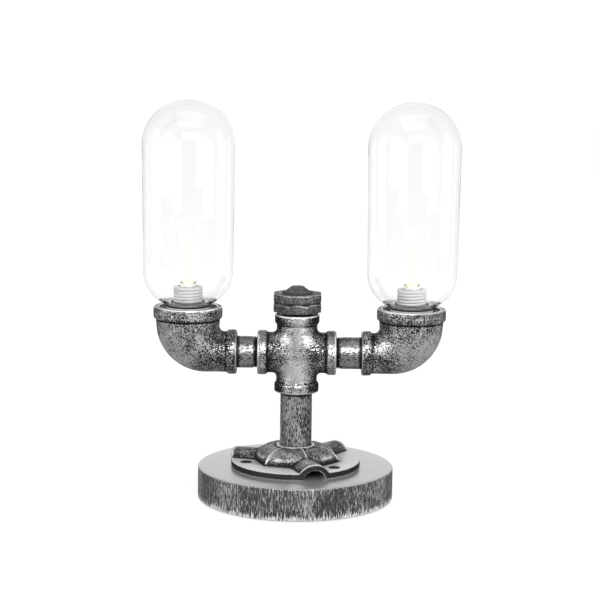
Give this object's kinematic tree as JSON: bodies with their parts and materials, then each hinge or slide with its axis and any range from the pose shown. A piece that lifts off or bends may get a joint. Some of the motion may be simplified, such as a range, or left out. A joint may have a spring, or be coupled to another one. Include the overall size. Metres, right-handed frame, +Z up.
{
  "type": "table lamp",
  "caption": "Table lamp of pipe fittings on a round base, with a clear glass capsule over a small filament bulb on each arm and a push-button switch between them.",
  "frame": {"origin": "centre of the felt's underside, where the lamp stands", "axes": "+Z up along the riser, +X towards the right arm, -Y towards the front"},
  "size_m": [0.2644, 0.165, 0.336],
  "materials": {
    "felt": "black felt",
    "base_wood": "dark paint dry-brushed with silver",
    "bushing_rubber": "matte",
    "cast_iron": "pitted, antique silver over black",
    "screw_steel": "blackened",
    "pipe_steel": "antique silver over black",
    "nut_steel": "dark brushed grey",
    "switch_plastic": "matte",
    "spring_steel": "bright wire",
    "button_metal": "antique silver over black",
    "holder_disc": "satin",
    "brass": "plain",
    "holder_metal": "satin",
    "lead_plastic": "smooth",
    "collar_metal": "black",
    "shade_glass": "clear",
    "cap_metal": "nickel plate",
    "bulb_glass": "clear",
    "filament": "yellow phosphor"
  },
  "bodies": {
    "stand": {"felt_pad": "felt", "base_disc": "base_wood", "cord_bushing": "bushing_rubber", "floor_flange": "cast_iron", "flange_screws": "screw_steel", "riser_pipe": "pipe_steel", "cross_fitting": "cast_iron", "switch_sleeve": "nut_steel", "lower_nut": "nut_steel", "upper_nut": "nut_steel", "switch_body": "switch_plastic", "button_spring": "spring_steel", "switch_bezel": "button_metal", "left_nipple": "pipe_steel", "left_elbow": "cast_iron", "left_holder_plate": "holder_disc", "left_holder_tube": "brass", "left_holder_nut": "holder_disc", "left_lampholder": "holder_metal", "left_screw_shell": "brass", "left_centre_contact": "brass", "left_lamp_lead": "lead_plastic", "right_nipple": "pipe_steel", "right_elbow": "cast_iron", "right_holder_plate": "holder_disc", "right_holder_tube": "brass", "right_holder_nut": "holder_disc", "right_lampholder": "holder_metal", "right_screw_shell": "brass", "right_centre_contact": "brass", "right_lamp_lead": "lead_plastic"},
    "push_button": {"switch_button": "button_metal"},
    "left_globe": {"left_shade_collar": "collar_metal", "left_shade": "shade_glass"},
    "left_bulb": {"left_bulb_cap": "cap_metal", "left_bulb_glass": "bulb_glass", "left_bulb_filament": "filament"},
    "right_globe": {"right_shade_collar": "collar_metal", "right_shade": "shade_glass"},
    "right_bulb": {"right_bulb_cap": "cap_metal", "right_bulb_glass": "bulb_glass", "right_bulb_filament": "filament"}
  },
  "joints": [
    {"name": "button_press", "type": "slide", "parent": "stand", "child": "push_button", "axis": [0, 0, -1], "range_m": [0, 0.003], "stiffness_N_per_m": 600, "springref_m": -0.004, "deforming": ["button_spring"]},
    {"name": "left_shade_lift", "type": "slide", "parent": "stand", "child": "left_globe", "axis": [0, 0, 1], "range_m": [0, 0.08]},
    {"name": "left_bulb_turn", "type": "hinge", "parent": "stand", "child": "left_bulb", "pos_m": [-0.0916, 0, 0.17], "axis": [0, 0, 1], "range_deg": [0, 1440]},
    {"name": "right_shade_lift", "type": "slide", "parent": "stand", "child": "right_globe", "axis": [0, 0, 1], "range_m": [0, 0.08]},
    {"name": "right_bulb_turn", "type": "hinge", "parent": "stand", "child": "right_bulb", "pos_m": [0.0956, 0, 0.17], "axis": [0, 0, 1], "range_deg": [0, 1440]}
  ]
}
